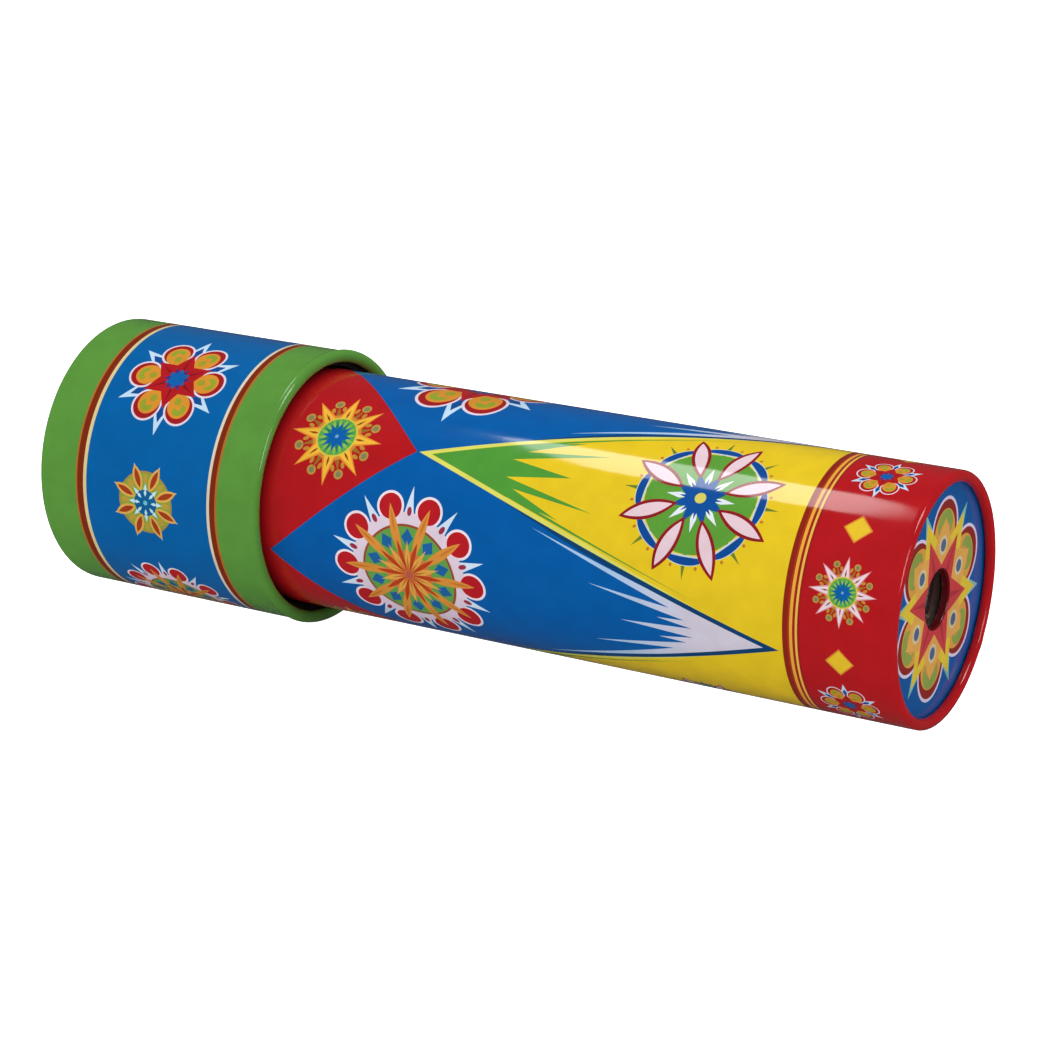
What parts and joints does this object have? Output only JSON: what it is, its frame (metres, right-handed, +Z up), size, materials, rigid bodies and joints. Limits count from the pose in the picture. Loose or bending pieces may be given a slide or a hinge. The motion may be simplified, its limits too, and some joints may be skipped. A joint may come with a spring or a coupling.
{
  "type": "kaleidoscope",
  "caption": "Tinplate toy kaleidoscope: printed viewing tube with a mirror triangle, and a wider printed barrel that turns on its object end and holds loose coloured chips.",
  "frame": {"origin": "half-way along the tube, under its axis, at the level of the lowest point of the barrel's rolled lip", "axes": "+X along the tube from the barrel to the eye end, +Y to the left of someone looking from the barrel to the eye, +Z up with the tube lying down"},
  "size_m": [0.187, 0.0558, 0.0558],
  "materials": {
    "printed_tube": "lithographed tinplate, glossy varnish",
    "printed_barrel": "lithographed tinplate, glossy varnish",
    "printed_disc": "lithographed tinplate, glossy varnish",
    "clear_disc": "clear",
    "frosted_disc": "frosted on one face",
    "mirror_glass": "silvered glass",
    "paper_tape": "gummed brown paper tape",
    "grey_card": null,
    "black_card": null,
    "spring_wire": "drawn spring wire",
    "chip_red": "transparent acetate",
    "chip_blue": "transparent acetate",
    "chip_green": "transparent acetate",
    "chip_yellow": "transparent acetate",
    "chip_violet": "transparent acetate",
    "chip_amber": "transparent acetate"
  },
  "bodies": {
    "tube": {"main_tube": "printed_tube", "eye_disc": "printed_disc", "eye_window": "clear_disc", "eye_baffle": "grey_card", "mirror_bottom": "mirror_glass", "mirror_left": "mirror_glass", "mirror_right": "mirror_glass", "mirror_tape_eye": "paper_tape", "mirror_tape_object": "paper_tape", "object_baffle": "grey_card", "tube_window": "clear_disc", "tube_window_ring": "grey_card"},
    "barrel": {"barrel_shell": "printed_barrel", "guide_sleeve": "black_card", "end_window": "frosted_disc", "cell_ring": "grey_card", "cell_window": "clear_disc", "window_clip": "spring_wire"},
    "chips_outer": {"chip_outer_red_triangle": "chip_red", "chip_outer_blue_disc": "chip_blue", "chip_outer_yellow_square": "chip_yellow", "chip_outer_green_hexagon": "chip_green", "chip_outer_violet_star": "chip_violet", "chip_outer_amber_bead": "chip_amber"},
    "chips_middle": {"chip_middle_amber_hexagon": "chip_amber", "chip_middle_red_rod": "chip_red", "chip_middle_green_triangle": "chip_green", "chip_middle_blue_square": "chip_blue", "chip_middle_yellow_bead": "chip_yellow", "chip_middle_violet_disc": "chip_violet"},
    "chips_inner": {"chip_inner_yellow_star": "chip_yellow", "chip_inner_red_bead": "chip_red", "chip_inner_violet_square": "chip_violet", "chip_inner_green_disc": "chip_green", "chip_inner_blue_triangle": "chip_blue", "chip_inner_amber_rod": "chip_amber"}
  },
  "joints": [
    {"name": "barrel_spin", "type": "hinge", "parent": "tube", "child": "barrel", "pos_m": [0, 0, 0.02789], "axis": [1, 0, 0], "continuous": true},
    {"name": "chips_outer_tumble", "type": "hinge", "parent": "tube", "child": "chips_outer", "pos_m": [0, 0, 0.02789], "axis": [1, 0, 0], "continuous": true},
    {"name": "chips_middle_tumble", "type": "hinge", "parent": "tube", "child": "chips_middle", "pos_m": [0, 0, 0.02789], "axis": [1, 0, 0], "continuous": true},
    {"name": "chips_inner_tumble", "type": "hinge", "parent": "tube", "child": "chips_inner", "pos_m": [0, 0, 0.02789], "axis": [1, 0, 0], "continuous": true}
  ]
}
